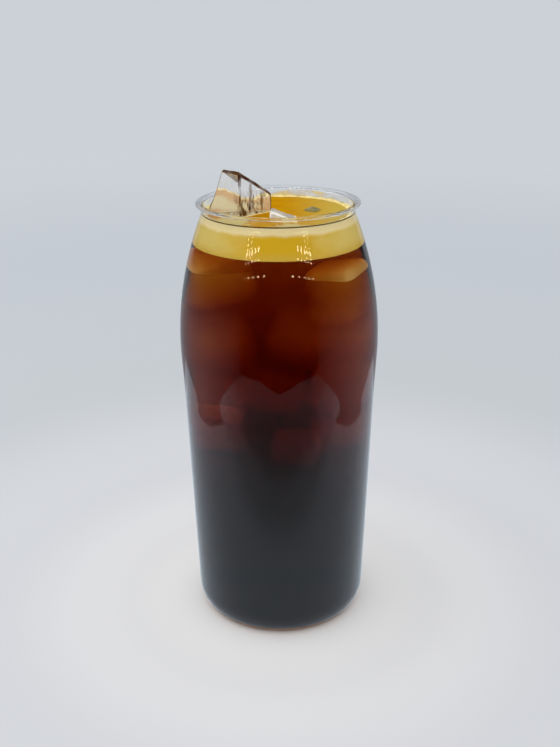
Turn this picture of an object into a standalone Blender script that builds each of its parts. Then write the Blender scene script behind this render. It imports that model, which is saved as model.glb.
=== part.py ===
"""An iced americano together with its cup: a thin clear can-shaped vessel with a flanged rim, filled
almost to the brim with dark coffee under a golden crema layer, and three ice cubes breaking the surface.

The sizes below are in millimetres, and the vertices are made from them in metres. +Z is up, the cup
stands on z = 0 with its axis on the z axis, and the big ice cube is on the -X side."""

import math

import bmesh
import bpy
from mathutils import Vector

MM = 0.001

# The sizes everything else follows from.
CUP_HEIGHT = 146.0
WIDEST_RADIUS = 33.2
WALL = 0.8
FIT_GAP = 0.3

# The cup, from its base to its rim.
BASE_RADIUS = WIDEST_RADIUS - 7.8
HEEL_HEIGHT = 8.2
LOW_WALL_RADIUS = WIDEST_RADIUS - 3.4
HIGH_WALL_RADIUS = WIDEST_RADIUS - 0.9
HIGH_WALL_Z = 0.538 * CUP_HEIGHT
WIDEST_Z = 0.684 * CUP_HEIGHT
NECK_RADIUS = WIDEST_RADIUS - 8.4
NECK_Z = 0.976 * CUP_HEIGHT
FLANGE_RADIUS = NECK_RADIUS + 1.8
FLANGE_THICKNESS = 0.9
FLANGE_Z = CUP_HEIGHT - FLANGE_THICKNESS

# The drink.
FILL_Z = NECK_Z + 0.1
CREMA_Z = FILL_Z - 9.4

# How finely round shapes are faceted.
CUP_SEGMENTS = 60
DRINK_SEGMENTS = 48

# How far melting has rounded the edges of the ice.
ICE_ROUNDING = 0.8
ICE_EDGE_STEPS = 2

# The corners of each ice cube: first the four of its foot, then the four of its top, counter-clockwise
# from above in both, starting on the left.
ICE_CORNERS = {
    "ice_large": (
        (-23.8, -3.0, 141.0),
        (-11.5, -10.5, 134.0),
        (-1.8, -1.5, 131.0),
        (-11.0, 2.5, 130.0),
        (-17.6, -2.0, 156.8),
        (-12.2, -8.2, 157.0),
        (-1.8, 0.0, 148.5),
        (-10.0, 1.5, 152.8),
    ),
    "ice_front": (
        (-3.2, -19.0, 134.5),
        (9.0, -19.5, 135.5),
        (9.5, -8.5, 134.5),
        (1.8, -6.5, 134.0),
        (-3.0, -13.0, 145.9),
        (6.2, -16.5, 143.0),
        (5.6, -8.0, 142.9),
        (-2.6, -5.5, 145.4),
    ),
    "ice_small": (
        (7.5, 0.5, 132.5),
        (12.5, -4.5, 131.5),
        (17.5, 2.0, 131.0),
        (11.5, 6.5, 132.0),
        (7.6, 0.4, 143.5),
        (11.6, -3.4, 143.7),
        (14.8, 1.2, 143.5),
        (11.0, 4.8, 143.5),
    ),
}

# The corners of a block that make each of its faces, numbered as above and seen from outside.
BLOCK_FACES = ((3, 2, 1, 0), (4, 5, 6, 7), (0, 1, 5, 4), (1, 2, 6, 5), (2, 3, 7, 6), (3, 0, 4, 7))


def clear_scene():
    """Remove every object, so that only this part is in the scene."""
    for thing in list(bpy.data.objects):
        bpy.data.objects.remove(thing, do_unlink=True)


def plain_material(name, colour, roughness, transmission=0.0, ior=1.45):
    """A Principled material of one colour."""
    material = bpy.data.materials.new(name)
    material.use_nodes = True
    shader = material.node_tree.nodes["Principled BSDF"]
    shader.inputs["Base Color"].default_value = (*colour, 1.0)
    shader.inputs["Roughness"].default_value = roughness
    shader.inputs["Transmission Weight"].default_value = transmission
    shader.inputs["IOR"].default_value = ior
    material.diffuse_color = (*colour, 1.0)
    return material


def add_object(name, body, material):
    """Put a bmesh into the scene as a named object, smooth but for its sharp edges."""
    mesh = bpy.data.meshes.new(name)
    body.to_mesh(mesh)
    body.free()
    mesh.materials.append(material)
    mesh.shade_smooth()
    mesh.set_sharp_from_angle(angle=math.radians(35.0))
    thing = bpy.data.objects.new(name, mesh)
    bpy.context.scene.collection.objects.link(thing)
    return thing


def between(start, end, count):
    """Evenly spaced numbers from start to end, both included."""
    return [start + (end - start) * i / (count - 1) for i in range(count)]


def outer_profile():
    """The outside of the cup as (radius, height) points, from the edge of its base to the top of its neck."""
    heel = [
        (
            BASE_RADIUS + (LOW_WALL_RADIUS - BASE_RADIUS) * math.sin(angle),
            HEEL_HEIGHT * (1.0 - math.cos(angle)),
        )
        for angle in between(0.0, math.pi / 2, 6)
    ]
    swell = [
        (
            HIGH_WALL_RADIUS + (WIDEST_RADIUS - HIGH_WALL_RADIUS) * share * share * (3.0 - 2.0 * share),
            HIGH_WALL_Z + (WIDEST_Z - HIGH_WALL_Z) * share,
        )
        for share in between(0.0, 1.0, 5)
    ]
    shoulder = [
        (
            NECK_RADIUS + (WIDEST_RADIUS - NECK_RADIUS) * (1.0 - share * share),
            WIDEST_Z + (NECK_Z - WIDEST_Z) * share,
        )
        for share in between(0.0, 1.0, 8)
    ]
    return heel + swell + shoulder[1:] + [(NECK_RADIUS, FLANGE_Z)]


def rim_profile():
    """The rounded flange and the rounded mouth inside it, from the top of the outer neck to the inner neck."""
    half = FLANGE_THICKNESS / 2
    nose = [
        (FLANGE_RADIUS - half * (1.0 - math.cos(angle)), FLANGE_Z + half * (1.0 + math.sin(angle)))
        for angle in between(-math.pi / 2, math.pi / 2, 5)
    ]
    mouth = [
        (NECK_RADIUS - WALL * math.sin(angle), CUP_HEIGHT - WALL * (1.0 - math.cos(angle)))
        for angle in between(0.0, math.pi / 2, 4)
    ]
    return nose + mouth


def inset(profile, distance):
    """The same profile moved towards the inside of the cup by one distance everywhere."""
    moved = []
    last = len(profile) - 1
    for i, (radius, height) in enumerate(profile):
        before = profile[max(i - 1, 0)]
        after = profile[min(i + 1, last)]
        along = Vector((after[0] - before[0], after[1] - before[1]))
        if i == 0:
            along = Vector((1.0, 0.0))
        if i == last:
            along = Vector((0.0, 1.0))
        along.normalize()
        moved.append((radius - distance * along.y, height + distance * along.x))
    return moved


def slice_of(profile, low, high):
    """The part of a rising profile between two heights, with points made at both."""
    kept = [point for point in profile if low <= point[1] <= high]
    for start, end in zip(profile[:-1], profile[1:]):
        for level in (low, high):
            if start[1] < level < end[1]:
                share = (level - start[1]) / (end[1] - start[1])
                kept.append((start[0] + (end[0] - start[0]) * share, level))
    return sorted(kept, key=lambda point: point[1])


def revolve(profile, segments):
    """A closed body spun about the z axis from (radius, height) points that start and end on the axis."""
    body = bmesh.new()
    points = [body.verts.new((radius * MM, 0.0, height * MM)) for radius, height in profile]
    lines = [body.edges.new(pair) for pair in zip(points[:-1], points[1:])]
    bmesh.ops.spin(
        body,
        geom=points + lines,
        axis=(0.0, 0.0, 1.0),
        cent=(0.0, 0.0, 0.0),
        angle=2.0 * math.pi,
        steps=segments,
    )
    bmesh.ops.remove_doubles(body, verts=body.verts, dist=0.001 * MM)
    bmesh.ops.recalc_face_normals(body, faces=body.faces)
    return body


def make_cup():
    """The vessel: a flat base, a rounded heel, a long wall, a domed shoulder, a short neck and a flange."""
    outer = outer_profile()
    inner = inset(outer[:-1], WALL)
    floor = (0.0, inner[0][1])
    profile = [(0.0, 0.0)] + outer + rim_profile() + inner[::-1] + [floor]
    clear = plain_material("clear_plastic", (0.92, 0.95, 0.96), 0.04, 1.0, 1.5)
    add_object("cup", revolve(profile, CUP_SEGMENTS), clear)


def make_layer(name, low, high, material):
    """One layer of the drink, a solid that fills the cup between two heights."""
    wall = slice_of(inset(outer_profile(), WALL + FIT_GAP), low, high)
    profile = [(0.0, wall[0][1])] + wall + [(0.0, wall[-1][1])]
    return add_object(name, revolve(profile, DRINK_SEGMENTS), material)


def ice_body(corners):
    """A melted cube: a block with the eight corners given and its edges rounded."""
    body = bmesh.new()
    points = [body.verts.new(Vector(corner) * MM) for corner in corners]
    for face in BLOCK_FACES:
        body.faces.new([points[i] for i in face])
    bmesh.ops.bevel(
        body,
        geom=body.edges[:],
        offset=ICE_ROUNDING * MM,
        segments=ICE_EDGE_STEPS,
        profile=0.5,
        affect="EDGES",
    )
    bmesh.ops.triangulate(body, faces=body.faces)
    bmesh.ops.recalc_face_normals(body, faces=body.faces)
    return body


def make_cutter(name, corners, material):
    """An ice cube grown by the fit gap, to cut its room out of the drink."""
    body = ice_body(corners)
    body.normal_update()
    for vertex in body.verts:
        vertex.co += vertex.normal * FIT_GAP * MM
    cutter = add_object(name, body, material)
    cutter.hide_render = True
    cutter.display_type = "WIRE"
    return cutter


def cut(layer, cutter):
    """Take a cutter out of a layer of the drink."""
    difference = layer.modifiers.new(cutter.name, "BOOLEAN")
    difference.operation = "DIFFERENCE"
    difference.solver = "EXACT"
    difference.object = cutter


def build():
    """Make every piece of the part."""
    clear_scene()
    make_cup()
    coffee = plain_material("coffee", (0.035, 0.008, 0.004), 0.08)
    crema = plain_material("crema", (0.56, 0.33, 0.06), 0.25)
    ice = plain_material("ice", (0.86, 0.88, 0.88), 0.08, 0.9, 1.31)
    layers = [
        make_layer("coffee", 0.0, CREMA_Z - FIT_GAP, coffee),
        make_layer("crema", CREMA_Z, FILL_Z, crema),
    ]
    for name, corners in ICE_CORNERS.items():
        add_object(name, ice_body(corners), ice)
        cutter = make_cutter(name + "_room", corners, ice)
        for layer in layers:
            cut(layer, cutter)


build()
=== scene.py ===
"""The looks of an iced americano in a clear can-shaped cup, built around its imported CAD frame.

Sizes are in millimetres until a vertex is made, and the shape follows the CAD solids: the same cup
profile, fill level, crema layer and ice corners, with finer facets and real materials."""

import math
import random
from itertools import product

import bmesh
import bpy
from mathutils import Matrix, Vector, noise

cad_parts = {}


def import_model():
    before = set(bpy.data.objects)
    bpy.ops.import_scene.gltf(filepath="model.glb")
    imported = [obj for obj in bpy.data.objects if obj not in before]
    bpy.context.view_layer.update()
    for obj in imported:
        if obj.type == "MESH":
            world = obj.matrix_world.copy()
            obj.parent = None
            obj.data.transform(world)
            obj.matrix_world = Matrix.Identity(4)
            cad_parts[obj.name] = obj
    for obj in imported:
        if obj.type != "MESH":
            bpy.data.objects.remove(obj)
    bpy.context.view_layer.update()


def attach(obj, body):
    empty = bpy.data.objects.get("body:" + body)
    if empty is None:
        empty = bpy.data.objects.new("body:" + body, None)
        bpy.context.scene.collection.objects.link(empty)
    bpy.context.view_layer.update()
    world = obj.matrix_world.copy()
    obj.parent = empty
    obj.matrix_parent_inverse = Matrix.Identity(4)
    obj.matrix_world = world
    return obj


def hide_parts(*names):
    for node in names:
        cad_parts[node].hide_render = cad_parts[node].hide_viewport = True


MM = 0.001

# The cup's driving sizes, the CAD model's own.
CUP_HEIGHT = 146.0
WIDEST_RADIUS = 33.2
WALL = 0.8
BASE_RADIUS = WIDEST_RADIUS - 7.8
HEEL_HEIGHT = 8.2
LOW_WALL_RADIUS = WIDEST_RADIUS - 3.4
HIGH_WALL_RADIUS = WIDEST_RADIUS - 0.9
HIGH_WALL_Z = 0.538 * CUP_HEIGHT
WIDEST_Z = 0.684 * CUP_HEIGHT
NECK_RADIUS = WIDEST_RADIUS - 8.4
NECK_Z = 0.976 * CUP_HEIGHT
FLANGE_RADIUS = NECK_RADIUS + 1.8
FLANGE_THICKNESS = 0.9
FLANGE_Z = CUP_HEIGHT - FLANGE_THICKNESS
FILL_Z = NECK_Z + 0.1
CREMA_Z = FILL_Z - 9.4

# The coffee takes this much red out of the light in each millimetre, the strong at the foot and the weak under the
# crema, and more green and blue by these shares. It is all strong below a height.
COFFEE_STRONG = 0.095
COFFEE_WEAK = 0.027
COFFEE_TAKES = (0.17, 0.41, 0.97)
COFFEE_DARK_Z = 40.0
COFFEE_LAYERS = 10
# Each layer of it reaches this far into the one above.
LAYER_LAP = 0.05

# The foam's colours: on its side, then on its surface.
CREMA_GOLD = (0.76, 0.49, 0.02)
# The paler side colour is painted light: it shows left and right, where more light falls on the foam than on its
# front.
CREMA_PALE_PAINTED_LIGHT = (0.81, 0.64, 0.20)
CREMA_LOW = (0.76, 0.51, 0.08)
CREMA_BAND = (0.97, 0.82, 0.46)
CREMA_AMBER = (0.365, 0.19, 0.002)
CREMA_DEEP_AMBER = (0.34, 0.14, 0.002)
CREMA_PALE_AMBER = (0.365, 0.265, 0.045)
CREMA_FROTH = (0.385, 0.305, 0.115)
# Where froth lies on the surface, and how far it reaches.
FROTH_PATCHES = (((-16.0, -16.0, FILL_Z), 9.0), ((4.0, -21.5, FILL_Z), 6.5), ((-15.0, 8.0, FILL_Z), 8.0))

# The studio. The floor's colour follows the distance from the cup in metres, with painted light in it: brightest
# next to the cup, against the shade the cup casts, darker out to about 0.45 m and a little lighter beyond. What
# the floor shows in mirrors follows the share of the tent's depth from the front, and the wall's colours the
# height of the direction.
FLOOR_COLOUR_AND_PAINTED_LIGHT = (
    (0.030, (0.645, 0.635, 0.625)),
    (0.06, (0.545, 0.54, 0.54)),
    (0.11, (0.455, 0.46, 0.475)),
    (0.23, (0.38, 0.395, 0.41)),
    (0.45, (0.375, 0.395, 0.42)),
    (1.0, (0.42, 0.44, 0.46)),
)
FLOOR_MIRRORED = (
    (0.0, (0.17, 0.19, 0.20)),
    (0.10, (0.22, 0.24, 0.26)),
    (0.20, (0.44, 0.49, 0.54)),
    (0.32, (0.68, 0.77, 0.86)),
    (0.98, (0.68, 0.78, 0.88)),
    (0.99, (0.36, 0.39, 0.43)),
)
# The tent's half width, and the line along which its dark front stands.
TENT_HALF = 188.0
TENT_FOOT = ((-168.0, -195.0), (-85.0, -219.0), (0.0, -196.0), (85.0, -213.0), (168.0, -195.0))
FLOOR_Z = -0.1
WALL_SEEN = ((0.0, (0.60, 0.63, 0.66)), (0.2, (0.62, 0.65, 0.70)))
WALL_MIRRORED = ((0.0, (0.32, 0.34, 0.38)), (0.2, (0.10, 0.10, 0.12)), (0.55, (0.62, 0.62, 0.64)))
WALL_LIGHT = (1.45, 1.47, 1.50)
SIDE_BRIGHT = (0.34, 0.37, 0.41)
SIDE_DARK = (0.02, 0.02, 0.03)
FLAG_COLOUR = (0.005, 0.005, 0.005)
LAMP_COLOUR = (1.0, 0.88, 0.58)
LAMP_Y = -193.0

# The camera: its place, how far it looks down and rolls in degrees, and its focal length in picture heights.
CAMERA_PLACE = (0.2, -318.9, 212.2)
CAMERA_DIP = 21.54
CAMERA_ROLL = -0.43
CAMERA_FOCUS = 1000.0 / 747.0

# What fills the cup reaches this far into its wall, so that no air gap shows.
BITE = 0.3
# Ice reaches this far into the liquid round it, for the same reason.
ICE_BITE = 0.12
# The lower and the upper edge of the brown line along the foot, which is painted light: the amber light that shows
# through the thin coffee at the heel.
HEEL_LINE = (0.2, 1.9)

CUP_SEGMENTS = 160
DRINK_SEGMENTS = 128
ICE_STEPS = 32
ICE_EDGE_STEPS = 5

# The eight corners of each cube that breaks the surface, as in the CAD model.
ICE_CORNERS = {
    "ice_large": (
        (-23.8, -3.0, 141.0),
        (-11.5, -10.5, 134.0),
        (-1.8, -1.5, 131.0),
        (-11.0, 2.5, 130.0),
        (-17.6, -2.0, 156.8),
        (-12.2, -8.2, 157.0),
        (-1.8, 0.0, 148.5),
        (-10.0, 1.5, 152.8),
    ),
    "ice_front": (
        (-3.2, -19.0, 134.5),
        (9.0, -19.5, 135.5),
        (9.5, -8.5, 134.5),
        (1.8, -6.5, 134.0),
        (-3.0, -13.0, 145.9),
        (6.2, -16.5, 143.0),
        (5.6, -8.0, 142.9),
        (-2.6, -5.5, 145.4),
    ),
    "ice_small": (
        (7.5, 0.5, 132.5),
        (12.5, -4.5, 131.5),
        (17.5, 2.0, 131.0),
        (11.5, 6.5, 132.0),
        (7.6, 0.4, 143.5),
        (11.6, -3.4, 143.7),
        (14.8, 1.2, 143.5),
        (11.0, 4.8, 143.5),
    ),
}

# How square each cube still is, because melting rounds it: a high power is square. Then how high its waves are.
ICE_POWERS = {"ice_large": 20.0, "ice_front": 9.0, "ice_small": 6.0}
SUNK_POWER = 4.5
ICE_WAVES = 0.35

# The ice that lies wholly in the coffee: a stack of cubes down each side, and a smaller cube between them at each
# level but the highest, all a little askew.
SUNK_SEED = 78
SUNK_LEVELS = 4
SUNK_TOP_Z = 118.0
SUNK_DROP = 16.5
SUNK_SIDE = 18.0
SUNK_MIDDLE_SIDE = 15.3
SUNK_TILT = 20.0
SUNK_REACH = 25.0
# How much light bends at a surface: into each thing from air, from the cup's plastic into the coffee, and between
# coffee and ice, hardly.
PLASTIC_BEND = 1.5
COFFEE_BEND = 1.33
ICE_BEND = 1.31
RIM_BEND = 1.2
WALL_BEND = COFFEE_BEND / PLASTIC_BEND
SUNK_BEND = 1.006
# A face of the coffee this near the wall lies along it.
NEAR_WALL = 1.2

# Coffee ran down the large cube below a height and this far left and right of its middle.
CLEAN_ICE = (0.985, 0.985, 0.98)
STAIN = (0.10, 0.035, 0.010)
STREAKS_X = -8.5
STREAKS_REACH = 5.0
STREAKS_TOP = 150.5
# The cubes that foam clings to.
FOAMY_ICE = ("ice_large", "ice_front")
# The dried foam inside the neck: its arc in degrees, from +X, and its height.
NECK_FILM_ARC = (25.0, 100.0)
NECK_FILM_HEIGHT = 2.2


# ---------------------------------------------------------------- mesh helpers


def between(start, end, count):
    """Evenly spaced numbers from start to end, both included."""
    return [start + (end - start) * i / (count - 1) for i in range(count)]


def mesh_object(name, body, materials):
    """A bmesh as a smooth object in the scene."""
    mesh = bpy.data.meshes.new(name)
    body.to_mesh(mesh)
    body.free()
    for material in materials:
        mesh.materials.append(material)
    mesh.shade_smooth()
    thing = bpy.data.objects.new(name, mesh)
    bpy.context.scene.collection.objects.link(thing)
    return thing


def outer_profile():
    """The outside of the cup as (radius, height) points, from the edge of its base to the top of its neck."""
    heel = [
        (
            BASE_RADIUS + (LOW_WALL_RADIUS - BASE_RADIUS) * math.sin(angle),
            HEEL_HEIGHT * (1.0 - math.cos(angle)),
        )
        for angle in between(0.0, math.pi / 2, 16)
    ]
    wall = [
        (
            LOW_WALL_RADIUS + (HIGH_WALL_RADIUS - LOW_WALL_RADIUS) * share,
            HEEL_HEIGHT + (HIGH_WALL_Z - HEEL_HEIGHT) * share,
        )
        for share in between(0.0, 1.0, 12)
    ]
    swell = [
        (
            HIGH_WALL_RADIUS + (WIDEST_RADIUS - HIGH_WALL_RADIUS) * share * share * (3.0 - 2.0 * share),
            HIGH_WALL_Z + (WIDEST_Z - HIGH_WALL_Z) * share,
        )
        for share in between(0.0, 1.0, 14)
    ]
    shoulder = [
        (
            NECK_RADIUS + (WIDEST_RADIUS - NECK_RADIUS) * (1.0 - share * share),
            WIDEST_Z + (NECK_Z - WIDEST_Z) * share,
        )
        for share in between(0.0, 1.0, 26)
    ]
    neck = [(NECK_RADIUS, NECK_Z + 0.5), (NECK_RADIUS, FLANGE_Z - 0.3), (NECK_RADIUS, FLANGE_Z)]
    return heel + wall[1:] + swell[1:] + shoulder[1:] + neck


def rim_profile():
    """The rounded flange and the rounded mouth inside it, from the outer neck to the inner neck."""
    half = FLANGE_THICKNESS / 2
    nose = [
        (FLANGE_RADIUS - half * (1.0 - math.cos(angle)), FLANGE_Z + half * (1.0 + math.sin(angle)))
        for angle in between(-math.pi / 2, math.pi / 2, 13)
    ]
    mouth = [
        (NECK_RADIUS - WALL * math.sin(angle), CUP_HEIGHT - WALL * (1.0 - math.cos(angle)))
        for angle in between(0.0, math.pi / 2, 9)
    ]
    return nose + mouth


def inset(profile, distance):
    """The same profile moved towards the inside of the cup by one distance everywhere."""
    moved = []
    last = len(profile) - 1
    for i, (radius, height) in enumerate(profile):
        before = profile[max(i - 1, 0)]
        after = profile[min(i + 1, last)]
        along = Vector((after[0] - before[0], after[1] - before[1]))
        if i == 0:
            along = Vector((1.0, 0.0))
        if i == last:
            along = Vector((0.0, 1.0))
        along.normalize()
        moved.append((radius - distance * along.y, height + distance * along.x))
    return moved


def slice_of(profile, low, high):
    """The part of a rising profile between two heights, with points made at both."""
    kept = [point for point in profile if low <= point[1] <= high]
    for start, end in zip(profile[:-1], profile[1:]):
        for level in (low, high):
            if start[1] < level < end[1]:
                share = (level - start[1]) / (end[1] - start[1])
                kept.append((start[0] + (end[0] - start[0]) * share, level))
    return sorted(kept, key=lambda point: point[1])


def revolve(profile, segments):
    """A closed body spun about the z axis from (radius, height) points that start and end on the axis."""
    body = bmesh.new()
    points = [body.verts.new((radius * MM, 0.0, height * MM)) for radius, height in profile]
    lines = [body.edges.new(pair) for pair in zip(points[:-1], points[1:])]
    bmesh.ops.spin(
        body,
        geom=points + lines,
        axis=(0.0, 0.0, 1.0),
        cent=(0.0, 0.0, 0.0),
        angle=2.0 * math.pi,
        steps=segments,
    )
    bmesh.ops.remove_doubles(body, verts=body.verts, dist=0.001 * MM)
    bmesh.ops.recalc_face_normals(body, faces=body.faces)
    return body


# ---------------------------------------------------------------- ice shapes


def block_corners(centre, sides, turn):
    """The eight corners of a turned block, in the order that stretched() takes them."""
    spin = Matrix.Rotation(math.radians(turn[2]), 3, "Z")
    spin = spin @ Matrix.Rotation(math.radians(turn[1]), 3, "Y")
    spin = spin @ Matrix.Rotation(math.radians(turn[0]), 3, "X")
    corners = []
    for up in (-0.5, 0.5):
        for along, across in ((-0.5, -0.5), (0.5, -0.5), (0.5, 0.5), (-0.5, 0.5)):
            offset = Vector((along * sides[0], across * sides[1], up * sides[2]))
            corners.append(tuple(Vector(centre) + spin @ offset))
    return corners


def sunk_blocks():
    """The corners of every sunk cube."""
    dice = random.Random(SUNK_SEED)
    blocks = []
    for level in range(SUNK_LEVELS):
        height = SUNK_TOP_Z - SUNK_DROP * level
        aside = SUNK_REACH - SUNK_SIDE / 2
        places = [(way * aside, dice.uniform(-6.0, 6.0), SUNK_SIDE) for way in (-1, 1)]
        if level > 0:
            places.append((dice.uniform(-5.0, 5.0), dice.uniform(-14.0, 14.0), SUNK_MIDDLE_SIDE))
        for across, along, size in places:
            sides = [size * dice.uniform(0.85, 1.1) for _ in range(3)]
            turn = [dice.uniform(-SUNK_TILT, SUNK_TILT) for _ in range(2)] + [dice.uniform(0.0, 90.0)]
            centre = (across, along, height + dice.uniform(-2.0, 2.0))
            blocks.append(block_corners(centre, sides, turn))
    return blocks


def stretched(corners, share):
    """The point at a share of the way along each side of a block with the given corners."""
    around = ((0, 0), (1, 0), (1, 1), (0, 1))
    point = Vector((0.0, 0.0, 0.0))
    for i, corner in enumerate(corners):
        side, depth = around[i % 4]
        weight = share.x if side else 1.0 - share.x
        weight *= share.y if depth else 1.0 - share.y
        weight *= share.z if i >= 4 else 1.0 - share.z
        point += weight * Vector(corner)
    return point


def ice_body(block, grown=0.0):
    """A melted cube: a rounded cube stretched to the eight corners, its faces wavy where water ran.

    A block is its corners, the seed of its waves and its power. Grown moves the whole surface outwards."""
    corners, seed, power = block
    body = bmesh.new()
    grid = {}
    steps = range(ICE_STEPS + 1)
    edges = (0, ICE_STEPS)
    for place in product(steps, repeat=3):
        if not any(step in edges for step in place):
            continue
        on_cube = Vector([math.sin(math.pi / 2 * (2.0 * step / ICE_STEPS - 1.0)) for step in place])
        length = sum(abs(part) ** power for part in on_cube) ** (1.0 / power)
        share = (on_cube / length + Vector((1.0, 1.0, 1.0))) / 2.0
        grid[place] = body.verts.new(stretched(corners, share))
    for axis, side in product(range(3), edges):
        for row, column in product(range(ICE_STEPS), repeat=2):
            ring = ((row, column), (row + 1, column), (row + 1, column + 1), (row, column + 1))
            face = body.faces.new([grid[pair[:axis] + (side,) + pair[axis:]] for pair in ring])
            near_edge = min(row, column) < ICE_EDGE_STEPS or max(row, column) >= ICE_STEPS - ICE_EDGE_STEPS
            face.material_index = int(near_edge)
    bmesh.ops.recalc_face_normals(body, faces=body.faces)
    body.normal_update()
    shift = Vector((seed * 7.3, seed * 3.1, seed * 5.7))
    for vertex in body.verts:
        wave = noise.noise(vertex.co / 7.0 + shift) + 0.4 * noise.noise(vertex.co / 2.6 + shift)
        vertex.co += vertex.normal * (ICE_WAVES * (wave - 0.45) + grown)
    bmesh.ops.scale(body, vec=(MM, MM, MM), verts=body.verts)
    body.normal_update()
    return body


# ---------------------------------------------------------------- materials


def new_material(name):
    """A node material, with its node tree, its shader and its output."""
    material = bpy.data.materials.new(name)
    material.use_nodes = True
    tree = material.node_tree
    return material, tree, tree.nodes["Principled BSDF"], tree.nodes["Material Output"]


def add_node(tree, kind, **values):
    """A node with some of its inputs or properties set."""
    node = tree.nodes.new(kind)
    for key, value in values.items():
        if key in node.inputs:
            node.inputs[key].default_value = value
        else:
            setattr(node, key, value)
    return node


def maths(tree, operation, *values):
    """The result of one sum on sockets and plain numbers."""
    node = add_node(tree, "ShaderNodeMath", operation=operation)
    for socket, value in zip(node.inputs, values):
        if isinstance(value, float):
            socket.default_value = value
        else:
            tree.links.new(value, socket)
    return node.outputs["Value"]


def add_bump(tree, shader, height, strength, distance):
    """Bump from a height socket, distance in millimetres."""
    bump = add_node(tree, "ShaderNodeBump", Strength=strength, Distance=distance * MM)
    tree.links.new(height, bump.inputs["Height"])
    tree.links.new(bump.outputs["Normal"], shader.inputs["Normal"])


def colour_ramp(tree, source, stops):
    """A colour that follows a value through (position, colour) stops."""
    ramp = add_node(tree, "ShaderNodeValToRGB")
    ramp.color_ramp.interpolation = "EASE"
    points = ramp.color_ramp.elements
    while len(points) < len(stops):
        points.new(0.5)
    for point, (position, colour) in zip(points, stops):
        point.position = position
        point.color = (*colour, 1.0)
    tree.links.new(source, ramp.inputs["Fac"])
    return ramp.outputs["Color"]


def object_noise(tree, size, detail=3.0, stretch=(1.0, 1.0, 1.0)):
    """Noise in the object's own space, with features of about the given size in millimetres."""
    place = add_node(tree, "ShaderNodeTexCoord")
    scale = add_node(tree, "ShaderNodeMapping")
    scale.inputs["Scale"].default_value = stretch
    texture = add_node(tree, "ShaderNodeTexNoise", Scale=1.0 / (size * MM), Detail=detail)
    tree.links.new(place.outputs["Object"], scale.inputs["Vector"])
    tree.links.new(scale.outputs["Vector"], texture.inputs["Vector"])
    return texture


def glassy(name, colour, bend):
    """A smooth clear material that bends light so much, with its node tree, its shader and its output."""
    material, tree, shader, output = new_material(name)
    shader.inputs["Base Color"].default_value = (*colour, 1.0)
    shader.inputs["Roughness"].default_value = 0.0
    shader.inputs["IOR"].default_value = bend
    shader.inputs["Transmission Weight"].default_value = 1.0
    return material, tree, shader, output


def clear_plastic(name, bend, cover):
    """Thin moulded plastic, faintly wavy: how much it bends light, and how much of the light it meets."""
    material, tree, shader, _ = glassy(name, (0.975, 0.985, 0.985), bend)
    shader.inputs["Alpha"].default_value = cover
    ripple = object_noise(tree, 22.0, 1.0)
    add_bump(tree, shader, ripple.outputs["Fac"], 0.15, 0.6)
    return material


def unbending(name):
    """What drink lies against, the cup's inside or sunk ice: the drink's surface does the bending there."""
    return glassy(name, (1.0, 1.0, 1.0), 1.0)[0]


def coffee_liquid(name, strength):
    """Black coffee: clear, but it takes strength of the red light a millimetre, and more green and blue."""
    material, tree, shader, output = glassy(name, (1.0, 1.0, 1.0), COFFEE_BEND)
    shader.inputs["Specular Tint"].default_value = (0.0, 0.0, 0.0, 1.0)
    bend = add_node(tree, "ShaderNodeAttribute", attribute_name="bend")
    tree.links.new(bend.outputs["Fac"], shader.inputs["IOR"])
    red, green, blue = COFFEE_TAKES
    absorption = add_node(tree, "ShaderNodeVolumeAbsorption", Density=strength / red / MM)
    absorption.inputs["Color"].default_value = (1.0 - red, 1.0 - green, 1.0 - blue, 1.0)
    tree.links.new(absorption.outputs["Volume"], output.inputs["Volume"])
    return material


def clear_ice(name, clear):
    """Clear wet ice, or cloudy where it is less than clear."""
    material, tree, shader, _ = glassy(name, (0.985, 0.985, 0.97), ICE_BEND)
    shader.inputs["Transmission Weight"].default_value = clear
    ripple = object_noise(tree, 3.0, 2.0)
    add_bump(tree, shader, ripple.outputs["Fac"], 0.2, 0.5)
    return material


def tinted_ice(name):
    """A low wet cube that shows the drink under it."""
    material = clear_ice(name, 0.6)
    shader = material.node_tree.nodes["Principled BSDF"]
    shader.inputs["Base Color"].default_value = (0.42, 0.38, 0.12, 1.0)
    return material


def stained_ice(name, stain, clear):
    """Ice with coffee on it: streaks where it ran down, and more of it everywhere by the stain."""
    material = clear_ice(name, clear)
    tree = material.node_tree
    place = object_place(tree)
    streaks = ramp_between(tree, object_noise(tree, 1.5, 3.0, (1.0, 1.0, 0.35)).outputs["Fac"], 0.50, 0.60)
    aside = maths(tree, "ABSOLUTE", maths(tree, "SUBTRACT", place["X"], STREAKS_X * MM))
    within = ramp_between(tree, aside, STREAKS_REACH * MM, (STREAKS_REACH - 2.0) * MM)
    low = ramp_between(tree, place["Z"], STREAKS_TOP * MM, (STREAKS_TOP - 2.5) * MM)
    streaks = maths(tree, "MULTIPLY", maths(tree, "MULTIPLY", streaks, within), low)
    patchy = ramp_between(tree, object_noise(tree, 5.0, 2.0).outputs["Fac"], 0.25, 0.5)
    stained = maths(tree, "MULTIPLY_ADD", patchy, stain, streaks)
    colour = mixed(tree, stained, CLEAN_ICE, STAIN)
    tree.links.new(colour, tree.nodes["Principled BSDF"].inputs["Base Color"])
    return material


def foam_shader(name):
    """Fine matt foam without a colour yet, and its node tree."""
    material, tree, shader, _ = new_material(name)
    shader.inputs["Roughness"].default_value = 0.6
    shader.inputs["Specular IOR Level"].default_value = 0.1
    shader.inputs["IOR"].default_value = 1.33
    return material, tree, shader


def mixed(tree, factor, first, second):
    """A colour that goes from the first to the second with a factor."""
    mix = add_node(tree, "ShaderNodeMix", data_type="RGBA")
    tree.links.new(factor, mix.inputs["Factor"])
    for socket, colour in ((mix.inputs[6], first), (mix.inputs[7], second)):
        if isinstance(colour, tuple):
            socket.default_value = (*colour, 1.0)
        else:
            tree.links.new(colour, socket)
    return mix.outputs[2]


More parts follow.
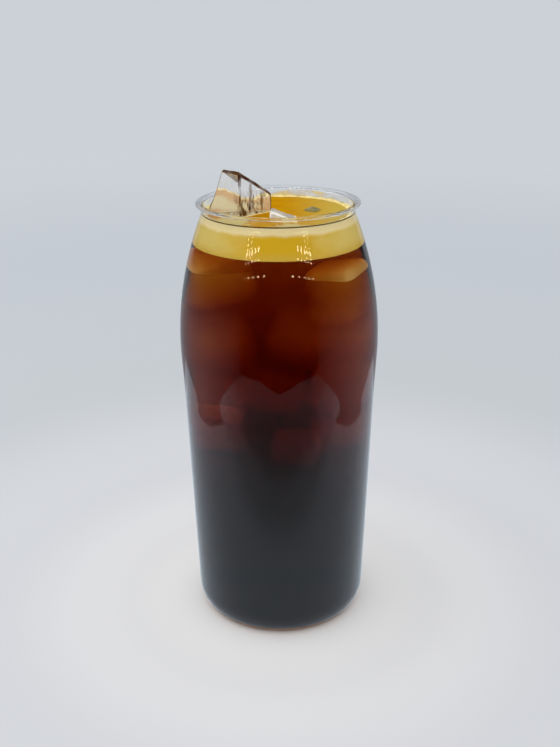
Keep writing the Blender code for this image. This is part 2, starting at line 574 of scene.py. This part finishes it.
def ramp_between(tree, source, low, high):
    """A number that rises smoothly from 0 to 1 while the source goes from low to high."""
    ease = add_node(tree, "ShaderNodeMapRange", interpolation_type="SMOOTHSTEP")
    ease.inputs["From Min"].default_value = low
    ease.inputs["From Max"].default_value = high
    tree.links.new(source, ease.inputs["Value"])
    return ease.outputs["Result"]


def with_noise(tree, source, size, amount, stretch=(1.0, 1.0, 1.0)):
    """A length made uneven by up to an amount by noise with features of about a size, both in millimetres."""
    uneven = object_noise(tree, size, 3.0, stretch).outputs["Fac"]
    return maths(tree, "MULTIPLY_ADD", uneven, amount * MM, source)


def object_place(tree):
    """The x, y and z of a point in the object's own space."""
    place = add_node(tree, "ShaderNodeTexCoord")
    parts = add_node(tree, "ShaderNodeSeparateXYZ")
    tree.links.new(place.outputs["Object"], parts.inputs[0])
    return parts.outputs


def axis_distance(tree):
    """How far a point is from the cup's axis."""
    place = add_node(tree, "ShaderNodeTexCoord")
    flat = add_node(tree, "ShaderNodeVectorMath", operation="MULTIPLY")
    flat.inputs[1].default_value = (1.0, 1.0, 0.0)
    length = add_node(tree, "ShaderNodeVectorMath", operation="LENGTH")
    tree.links.new(place.outputs["Object"], flat.inputs[0])
    tree.links.new(flat.outputs["Vector"], length.inputs[0])
    return length.outputs["Value"]


def crema_side():
    """The layer's side: golden, paler left and right as painted light, and in a band along its top, with a pale
    lower edge.
    """
    material, tree, shader = foam_shader("crema_side")
    place = object_place(tree)
    # Painted light: paler to the left and right, where more light falls on the foam than on its front.
    aside = with_noise(tree, maths(tree, "ABSOLUTE", place["X"]), 7.0, 16.0, (1.0, 1.0, 1.6))
    colour = mixed(tree, ramp_between(tree, aside, 12.0 * MM, 32.0 * MM), CREMA_GOLD, CREMA_PALE_PAINTED_LIGHT)
    height = with_noise(tree, place["Z"], 5.0, 1.5)
    low = ramp_between(tree, height, (CREMA_Z + 4.0) * MM, (CREMA_Z + 0.2) * MM)
    colour = mixed(tree, low, colour, CREMA_LOW)
    height = with_noise(tree, place["Z"], 4.0, 1.2)
    top = ramp_between(tree, height, (FILL_Z - 2.4) * MM, (FILL_Z - 1.1) * MM)
    colour = mixed(tree, top, colour, CREMA_BAND)
    tree.links.new(colour, shader.inputs["Base Color"])
    return material


def crema_top():
    """The layer's surface: deep amber, with patches of froth and pale foam along the wall."""
    material, tree, shader = foam_shader("crema_top")
    shader.inputs["Specular IOR Level"].default_value = 0.0
    mottle = ramp_between(tree, object_noise(tree, 5.0, 4.0).outputs["Fac"], 0.3, 0.7)
    colour = mixed(tree, mottle, CREMA_AMBER, CREMA_DEEP_AMBER)
    aside = with_noise(tree, object_place(tree)["X"], 5.0, 6.0)
    colour = mixed(tree, ramp_between(tree, aside, 3.0 * MM, 28.0 * MM), colour, CREMA_PALE_AMBER)
    edge = with_noise(tree, axis_distance(tree), 2.0, 1.6)
    wall = NECK_RADIUS - WALL
    colour = mixed(tree, ramp_between(tree, edge, (wall - 0.8) * MM, (wall + 0.1) * MM), colour, CREMA_BAND)
    for centre, reach in FROTH_PATCHES:
        place = add_node(tree, "ShaderNodeTexCoord")
        gap = add_node(tree, "ShaderNodeVectorMath", operation="DISTANCE")
        gap.inputs[1].default_value = Vector(centre) * MM
        tree.links.new(place.outputs["Object"], gap.inputs[0])
        ragged = with_noise(tree, gap.outputs["Value"], 2.0, 12.0)
        froth = ramp_between(tree, ragged, (reach + 6.0) * MM, (reach + 2.5) * MM)
        colour = mixed(tree, froth, colour, CREMA_FROTH)
    tree.links.new(colour, shader.inputs["Base Color"])
    return material


def crema_at_ice():
    """The layer where it lies against ice, with painted shade: browner, as little light gets there."""
    material, tree, shader = foam_shader("crema_at_ice")
    mottle = ramp_between(tree, object_noise(tree, 2.4, 4.0).outputs["Fac"], 0.42, 0.55)
    colour = mixed(tree, mottle, (0.55, 0.36, 0.04), (0.84, 0.82, 0.68))
    tree.links.new(colour, shader.inputs["Base Color"])
    return material


def crema_under_painted_glow():
    """The layer's underside, with a painted glow: emission stands in for the light that comes down through it."""
    material, tree, shader = foam_shader("crema_under_painted_glow")
    shader.inputs["Base Color"].default_value = (0.45, 0.2, 0.02, 1.0)
    # Painted glow: emission stands in for light that comes down through the foam.
    shader.inputs["Emission Color"].default_value = (0.50, 0.26, 0.045, 1.0)
    shader.inputs["Emission Strength"].default_value = 1.0
    return material


def pale_foam():
    """Pale foam of the finest bubbles."""
    material, tree, shader = foam_shader("pale_foam")
    mottle = ramp_between(tree, object_noise(tree, 1.2, 3.0).outputs["Fac"], 0.3, 0.7)
    colour = mixed(tree, mottle, (0.52, 0.40, 0.13), (0.72, 0.60, 0.28))
    tree.links.new(colour, shader.inputs["Base Color"])
    return material


def foam_film():
    """Foam dried to a film that light still gets through."""
    material, tree, shader = foam_shader("foam_film")
    shader.inputs["Base Color"].default_value = (0.66, 0.50, 0.13, 1.0)
    cover = ramp_between(tree, object_noise(tree, 5.0, 3.0, (1.0, 1.0, 2.0)).outputs["Fac"], 0.25, 0.75)
    tree.links.new(cover, shader.inputs["Alpha"])
    return material


def line_of_coffee_or_painted_light(name, first, second):
    """Coffee dried or held in a thin line, or a thin line of painted light."""
    material, tree, shader = foam_shader(name)
    mottle = object_noise(tree, 3.0, 3.0).outputs["Fac"]
    tree.links.new(mixed(tree, mottle, first, second), shader.inputs["Base Color"])
    return material


# ---------------------------------------------------------------- pieces


def evaluated(thing):
    """Replace an object's mesh by what its modifiers make of it."""
    graph = bpy.context.evaluated_depsgraph_get()
    result = bpy.data.meshes.new_from_object(thing.evaluated_get(graph))
    thing.modifiers.clear()
    thing.data = result


def combine_objects(thing, others, operation, keep=False):
    """Take the other objects out of an object, or join them to it, and remove them unless they are kept."""
    for other in others:
        step = thing.modifiers.new("step", "BOOLEAN")
        step.operation = operation
        step.solver = "MANIFOLD"
        step.object = other
        evaluated(thing)
        if not keep:
            bpy.data.objects.remove(other, do_unlink=True)


def combine(thing, bodies, operation):
    """Take bodies out of an object, or join them to it."""
    combine_objects(thing, [mesh_object("other", body, []) for body in bodies], operation)


def make_cup():
    """The vessel, in three finishes: dry plastic, plastic with drink against it, and the thin rolled rim."""
    outer = outer_profile()
    inner = inset(outer[:-1], WALL)
    floor = (0.0, inner[0][1])
    profile = [(0.0, 0.0)] + outer + rim_profile() + inner[::-1] + [floor]
    body = revolve(profile, CUP_SEGMENTS)
    for face in body.faces:
        middle = face.calc_center_median()
        outward = Vector((middle.x, middle.y, 0.0)).dot(face.normal)
        floor_face = abs(face.normal.z) > 0.5 and inner[0][1] * MM * 0.5 < middle.z < HEEL_HEIGHT * MM
        if middle.z < FILL_Z * MM and (outward < 0.0 or floor_face) and face.normal.z > -0.5:
            face.material_index = 1
        elif middle.z > (FLANGE_Z - 0.05) * MM:
            face.material_index = 2
    dry = clear_plastic("clear_plastic", PLASTIC_BEND, 1.0)
    rim = clear_plastic("rim_plastic", RIM_BEND, 0.5)
    cup = mesh_object("cup_shell", body, [dry, unbending("wet_plastic"), rim])
    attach(cup, "root")
    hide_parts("cup")


def layer_body(low, high):
    """A solid that fills the cup between two heights and reaches just into its wall."""
    wall = slice_of(inset(outer_profile(), WALL - BITE), low, high)
    return revolve([(0.0, wall[0][1])] + wall + [(0.0, wall[-1][1])], DRINK_SEGMENTS)


def clump(name, bodies, material):
    """Bodies that touch or overlap, joined into one object."""
    whole = mesh_object(name, bodies[0], [material])
    combine(whole, bodies[1:], "UNION")
    for face in whole.data.polygons:
        face.material_index = 0
    return whole


def radius_at(profile, height):
    """The radius of a rising profile at its last point below a height."""
    steps = zip(profile[:-1], profile[1:])
    return next(start[0] for start, end in steps if height <= end[1] or end is profile[-1])


def mark_bends(mesh):
    """How much each face of a coffee layer bends light: as plastic against coffee at the wall, hardly at the
    ice, and not at all at the layer's top and bottom."""
    wall = inset(outer_profile(), WALL - BITE)
    lowest = min(vertex.co.z for vertex in mesh.vertices)
    highest = max(vertex.co.z for vertex in mesh.vertices)
    bends = mesh.attributes.new("bend", "FLOAT", "FACE")
    for face, bend in zip(mesh.polygons, bends.data):
        middle = face.center
        bend.value = WALL_BEND
        if min(middle.z - lowest, highest - middle.z) < 0.001 * MM and abs(face.normal.z) > 0.99:
            bend.value = 1.0
        elif middle.xy.length / MM < radius_at(wall, middle.z / MM) - NEAR_WALL:
            bend.value = SUNK_BEND


def make_coffee(shown, sunk):
    """The coffee, cut round the ice, in level layers that get weaker upwards, where the ice has melted."""
    hollow = clump("hollow", [ice_body(block) for block in sunk], None)
    levels = [0.0] + between(COFFEE_DARK_Z, CREMA_Z + 0.1, COFFEE_LAYERS)
    for i, (low, high) in enumerate(zip(levels[:-1], levels[1:])):
        share = i / (COFFEE_LAYERS - 1)
        strength = COFFEE_STRONG * (COFFEE_WEAK / COFFEE_STRONG) ** share
        material = coffee_liquid(f"coffee_{i + 1}", strength)
        layer = mesh_object(f"coffee_layer_{i + 1}", layer_body(low, high + LAYER_LAP), [material])
        if share == 1.0:
            combine(layer, [ice_body(block, -ICE_BITE) for block in shown], "DIFFERENCE")
        combine_objects(layer, [hollow], "DIFFERENCE", keep=True)
        mark_bends(layer.data)
        layer.data.shade_smooth()
        layer.data.set_sharp_from_angle(angle=math.radians(40.0))
        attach(layer, "root")
        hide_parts("coffee")
    bpy.data.objects.remove(hollow, do_unlink=True)


def make_crema(shown):
    """The golden layer, cut round the cubes that break the surface."""
    finishes = [crema_side(), crema_top(), crema_at_ice(), crema_under_painted_glow()]
    crema = mesh_object("crema_layer", layer_body(CREMA_Z, FILL_Z), finishes)
    combine(crema, [ice_body(block, -ICE_BITE) for block in shown], "DIFFERENCE")
    for face in crema.data.polygons:
        if face.center.z > (FILL_Z - 0.05) * MM:
            face.material_index = 1
        elif face.center.z > (CREMA_Z + 0.05) * MM and face.center.xy.dot(face.normal.xy) < 0.0:
            face.material_index = 2
        elif face.normal.z < -0.9:
            face.material_index = 3
    crema.data.shade_smooth()
    crema.data.set_sharp_from_angle(angle=math.radians(40.0))
    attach(crema, "root")
    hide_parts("crema")


def loft(rings):
    """A closed body through rings of points, the last ring joined to the first."""
    body = bmesh.new()
    rows = [[body.verts.new(point * MM) for point in ring] for ring in rings]
    for step, corner in product(range(len(rows)), range(len(rows[0]))):
        here, there = rows[step], rows[(step + 1) % len(rows)]
        after = (corner + 1) % len(here)
        body.faces.new([here[corner], there[corner], there[after], here[after]])
    bmesh.ops.recalc_face_normals(body, faces=body.faces)
    return body


def collar(outline, profile):
    """A band along a closed outline of (point, outward direction) pairs.

    The profile holds (distance outwards, height) pairs."""
    up = Vector((0.0, 0.0, 1.0))
    rings = [[point + out * distance + up * height for distance, height in profile] for point, out in outline]
    return loft(rings)


def circle_outline(radius, height, segments):
    """Points round a circle, each with its outward direction."""
    angles = [2.0 * math.pi * step / segments for step in range(segments)]
    outs = [Vector((math.cos(angle), math.sin(angle), 0.0)) for angle in angles]
    return [(out * radius + Vector((0.0, 0.0, height)), out) for out in outs]


def waterline(block, height):
    """Points round an ice cube where a level plane cuts it, each with its outward direction."""
    body = ice_body(block)
    whole = list(body.verts) + list(body.edges) + list(body.faces)
    cut = bmesh.ops.bisect_plane(body, geom=whole, plane_co=(0.0, 0.0, height * MM), plane_no=(0.0, 0.0, 1.0))
    points = [item.co / MM for item in cut["geom_cut"] if isinstance(item, bmesh.types.BMVert)]
    body.free()
    centre = sum(points, Vector()) / len(points)
    points.sort(key=lambda point: math.atan2(point.y - centre.y, point.x - centre.x))
    outline = []
    for before, point, after in zip(points[-1:] + points[:-1], points, points[1:] + points[:1]):
        along = after - before
        outline.append((point, Vector((along.y, -along.x, 0.0)).normalized()))
    return outline


def roughened(body, base, amount):
    """A body whose parts above a height are uneven."""
    for vertex in body.verts:
        over = vertex.co.z / MM - base
        if over > 0.0:
            uneven = noise.noise(vertex.co / (3.0 * MM)) + 0.5 * noise.noise(vertex.co / (1.1 * MM))
            vertex.co.z += amount * over * uneven * MM
    return body


def make_neck_film():
    """What the foam left on the inside of the neck, at the back on the right."""
    first, last = (math.radians(angle) for angle in NECK_FILM_ARC)
    bottom = FILL_Z + 0.2
    body = bmesh.new()
    columns = []
    for angle in between(first, last, 60):
        reach = NECK_FILM_HEIGHT * math.sin(math.pi * (angle - first) / (last - first)) ** 0.5
        out = Vector((math.cos(angle), math.sin(angle), 0.0)) * (NECK_RADIUS - WALL - 0.04)
        levels = between(bottom, bottom + reach, 3)
        columns.append([body.verts.new((out + Vector((0.0, 0.0, level))) * MM) for level in levels])
    for here, there in zip(columns[:-1], columns[1:]):
        for i in range(2):
            body.faces.new([here[i], there[i], there[i + 1], here[i + 1]])
    piece = mesh_object("neck_film", body, [foam_film()])
    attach(piece, "root")


def heel_ring():
    """A thin brown line of painted light along the foot of the wall, where it curves under: the amber light that
    shows through the thin coffee there.
    """
    foot = slice_of(outer_profile(), *HEEL_LINE)
    inside = [(radius - 0.05, height) for radius, height in foot]
    outside = [(radius + 0.04, height) for radius, height in foot]
    return collar(circle_outline(0.0, 0.0, CUP_SEGMENTS), outside + inside[::-1])


def make_foam_edges(shown):
    """Foam that clings to the wall and to the ice, the thin coffee line behind it, and a line of painted light
    along the foot.
    """
    clinging = [(0.25, -0.3), (-1.0, -0.3), (-1.0, 0.02), (-0.5, 0.10)]
    clinging += [(-0.25, 0.22), (-0.05, 0.42), (0.25, 0.45)]
    bead = [(-0.15, -0.3), (0.22, -0.3), (0.22, 0.02), (0.14, 0.06), (0.07, 0.14), (0.0, 0.26), (-0.15, 0.26)]
    line = [(0.30, 0.05), (0.42, 0.05), (0.42, 0.42), (0.30, 0.42)]
    round_wall = circle_outline(NECK_RADIUS - WALL, FILL_Z, 240)
    foam = pale_foam()
    dark = line_of_coffee_or_painted_light("dark_film", (0.10, 0.055, 0.02), (0.16, 0.10, 0.03))
    # The brown line is painted light: the light that shows through the thin coffee at the foot.
    brown = line_of_coffee_or_painted_light("heel_painted_light", (0.17, 0.07, 0.03), (0.36, 0.18, 0.09))
    pieces = [
        (mesh_object("wall_foam", roughened(collar(round_wall, clinging), FILL_Z, 0.5), [foam]), "crema"),
        (mesh_object("fill_line", collar(round_wall, line), [dark]), "coffee"),
        (mesh_object("heel_line", heel_ring(), [brown]), "coffee"),
    ]
    for node, block in zip(ICE_CORNERS, shown):
        if node in FOAMY_ICE:
            body = roughened(collar(waterline(block, FILL_Z), bead), FILL_Z, 0.5)
            pieces.append((mesh_object(node + "_foam", body, [foam]), "crema"))
    for piece, slot in pieces:
        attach(piece, "root")


def make_ice(shown, sunk):
    """All the ice: each shown cube has a finish for its faces and one for its edges."""
    finishes = (
        [stained_ice("ice", 0.0, 0.85), stained_ice("ice_edge", 1.0, 0.8)],
        [clear_ice("cloudy_ice", 0.72), clear_ice("cloudy_ice_edge", 0.5)],
        [tinted_ice("low_ice"), tinted_ice("low_ice_edge")],
    )
    for block, node, finish in zip(shown, ICE_CORNERS, finishes):
        cube = mesh_object(node + "_cube", ice_body(block), finish)
        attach(cube, "root")
        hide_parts(node)
    whole = clump("sunk_ice", [ice_body(block, -ICE_BITE) for block in sunk], unbending("sunk_ice"))
    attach(whole, "root")


# ---------------------------------------------------------------- studio


def outer_mirror_ray(tree):
    """1 for light mirrored by the outside of things, 0 for light that has come through them."""
    ray = add_node(tree, "ShaderNodeLightPath")
    outside = maths(tree, "LESS_THAN", ray.outputs["Transmission Depth"], 0.5)
    return maths(tree, "MULTIPLY", ray.outputs["Is Glossy Ray"], outside)


def plane(name, corners, material):
    """A flat four-cornered object."""
    body = bmesh.new()
    body.faces.new([body.verts.new(Vector(corner) * MM) for corner in corners])
    return mesh_object(name, body, [material])


def make_floor():
    """A pale floor that runs out of sight, with painted light in its colour near the cup, and a glow of its own
    that only reflections show.
    """
    material, tree, shader, output = new_material("floor")
    shader.inputs["Roughness"].default_value = 0.8
    shader.inputs["Specular IOR Level"].default_value = 0.0
    place = add_node(tree, "ShaderNodeTexCoord")
    distance = add_node(tree, "ShaderNodeVectorMath", operation="LENGTH")
    tree.links.new(place.outputs["Object"], distance.inputs[0])
    # Painted light: the floor is brightest next to the cup and darker away from it.
    tree.links.new(colour_ramp(tree, distance.outputs["Value"], FLOOR_COLOUR_AND_PAINTED_LIGHT), shader.inputs["Base Color"])
    depth = add_node(tree, "ShaderNodeMapRange")
    depth.inputs["From Min"].default_value = -TENT_HALF * MM
    depth.inputs["From Max"].default_value = TENT_HALF * MM
    tree.links.new(object_place(tree)["Y"], depth.inputs["Value"])
    glow = add_node(tree, "ShaderNodeEmission")
    within = colour_ramp(tree, depth.outputs["Result"], FLOOR_MIRRORED)
    tree.links.new(within, glow.inputs["Color"])
    choice = add_node(tree, "ShaderNodeMixShader")
    tree.links.new(outer_mirror_ray(tree), choice.inputs["Fac"])
    tree.links.new(shader.outputs["BSDF"], choice.inputs[1])
    tree.links.new(glow.outputs["Emission"], choice.inputs[2])
    tree.links.new(choice.outputs["Shader"], output.inputs["Surface"])
    half = 60000.0
    corners = [(-half, -half, FLOOR_Z), (half, -half, FLOOR_Z), (half, half, FLOOR_Z), (-half, half, FLOOR_Z)]
    floor = plane("floor", corners, material)


def make_flag():
    """The dark open front of the light tent, which only mirrored light meets."""
    body = bmesh.new()
    feet = [body.verts.new(Vector((x, y, 0.5)) * MM) for x, y in TENT_FOOT]
    tops = [body.verts.new(Vector((1.25 * x, y, 400.0)) * MM) for x, y in TENT_FOOT]
    for i in range(len(feet) - 1):
        body.faces.new([feet[i], feet[i + 1], tops[i + 1], tops[i]])
    only_mirrored(mesh_object("flag", body, [glowing("flag", FLAG_COLOUR, 1.0)]))


def make_side_walls():
    """The tent's sides, which only mirrored light meets: bright at the foot, dark higher up and in front."""
    material, tree, _, output = new_material("tent_side")
    glow = add_node(tree, "ShaderNodeEmission")
    place = object_place(tree)
    colour = mixed(tree, ramp_between(tree, place["Y"], -230.0 * MM, 20.0 * MM), SIDE_DARK, SIDE_BRIGHT)
    colour = mixed(tree, ramp_between(tree, place["Z"], 55.0 * MM, 140.0 * MM), colour, SIDE_DARK)
    tree.links.new(colour, glow.inputs["Color"])
    tree.links.new(glow.outputs["Emission"], output.inputs["Surface"])
    for name, x in (("left_side", -TENT_HALF), ("right_side", TENT_HALF)):
        front = 0.9 * x
        corners = [(front, -195.0, 0.0), (x, 202.0, 0.0), (x, 202.0, 200.0), (front, -195.0, 200.0)]
        only_mirrored(plane(name, corners, material))


def only_mirrored(thing):
    """Stage that only mirrored light meets."""
    thing.visible_camera = False
    thing.visible_diffuse = False
    thing.visible_transmission = False
    thing.visible_shadow = False


def glowing(name, colour, strength):
    """A light of one colour."""
    material, tree, _, output = new_material(name)
    glow = add_node(tree, "ShaderNodeEmission", Strength=strength)
    glow.inputs["Color"].default_value = (*colour, 1.0)
    tree.links.new(glow.outputs["Emission"], output.inputs["Surface"])
    return material


def add_plate(body, centre, width, depth, height):
    """A small upright plate (depth 0) or level plate (height 0) as a face of a body."""
    corners = []
    for across, along in ((-1, -1), (1, -1), (1, 1), (-1, 1)):
        offset = Vector((across * width, along * depth, along * height)) / 2
        corners.append(body.verts.new((Vector(centre) + offset) * MM))
    body.faces.new(corners)


def make_tent_lights():
    """The lamps that only mirrored light meets: rows and columns of tiny ones, and a strip overhead."""
    tiny = bmesh.new()
    for side in (-1, 1):
        for i in range(5):
            add_plate(tiny, (side * (56.0 + 27.0 * i), LAMP_Y, 172.0), 7.0, 0.0, 2.5)
            add_plate(tiny, (side * (86.0 + 19.0 * i), LAMP_Y, 197.0), 6.0, 0.0, 3.0)
            add_plate(tiny, (side * (91.0 + 19.0 * i), LAMP_Y, 213.0), 6.0, 0.0, 9.0)
        for column, i in product((138.0, 165.0), range(6)):
            add_plate(tiny, (side * column, LAMP_Y, 204.0 + 8.5 * i), 6.0, 0.0, 3.0)
    strip = bmesh.new()
    add_plate(strip, (10.0, -40.0, 420.0), 260.0, 40.0, 0.0)
    for name, body, strength in (("tiny_lamps", tiny, 16.0), ("lamp_strip", strip, 14.0)):
        only_mirrored(mesh_object(name, body, [glowing(name, LAMP_COLOUR, strength)]))


def make_world():
    """The tent: its pale wall as the camera sees it, as things mirror it, and as it lights them."""
    world = bpy.data.worlds.new("studio")
    world.use_nodes = True
    tree = world.node_tree
    place = add_node(tree, "ShaderNodeTexCoord")
    height = add_node(tree, "ShaderNodeSeparateXYZ")
    tree.links.new(place.outputs["Generated"], height.inputs[0])
    seen = colour_ramp(tree, height.outputs["Z"], WALL_SEEN)
    gleam = colour_ramp(tree, height.outputs["Z"], WALL_MIRRORED)
    colour = mixed(tree, outer_mirror_ray(tree), seen, gleam)
    ray = add_node(tree, "ShaderNodeLightPath")
    colour = mixed(tree, ray.outputs["Diffuse Depth"], colour, WALL_LIGHT)
    tree.links.new(colour, tree.nodes["Background"].inputs["Color"])
    bpy.context.scene.world = world


def make_light():
    """A large soft lamp overhead."""
    data = bpy.data.lights.new("overhead", "AREA")
    data.shape = "RECTANGLE"
    data.size = 0.6
    data.size_y = 0.6
    data.energy = 0.9
    lamp = bpy.data.objects.new("overhead", data)
    lamp.location = (-0.35, -0.05, 0.65)
    lamp.rotation_euler = (0.0, math.radians(-28.0), 0.0)
    bpy.context.scene.collection.objects.link(lamp)


def make_camera():
    """The camera, where the cup is seen from a little above."""
    data = bpy.data.cameras.new("camera")
    data.sensor_width = 36.0
    data.lens = CAMERA_FOCUS * data.sensor_width
    camera = bpy.data.objects.new("camera", data)
    camera.location = Vector(CAMERA_PLACE) * MM
    camera.rotation_euler = (math.radians(90.0 - CAMERA_DIP), 0.0, 0.0)
    camera.rotation_euler.rotate_axis("Z", math.radians(CAMERA_ROLL))
    bpy.context.scene.collection.objects.link(camera)
    bpy.context.scene.camera = camera


def make_studio():
    """The camera, the tent, the floor and the lamps."""
    make_camera()
    make_world()
    make_light()
    make_floor()
    make_flag()
    make_side_walls()
    make_tent_lights()


def make_drink():
    """The cup and all that is in it."""
    shown = [(corners, seed, ICE_POWERS[node]) for seed, (node, corners) in enumerate(ICE_CORNERS.items(), 1)]
    sunk = [(corners, seed, SUNK_POWER) for seed, corners in enumerate(sunk_blocks(), 11)]
    make_cup()
    make_coffee(shown, sunk)
    make_crema(shown)
    make_foam_edges(shown)
    make_neck_film()
    make_ice(shown, sunk)


def main():
    """Build everything."""
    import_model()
    bpy.context.scene.view_settings.view_transform = "Standard"
    bpy.context.scene.cycles.max_bounces = 48
    bpy.context.scene.cycles.transmission_bounces = 48
    make_studio()
    make_drink()


main()
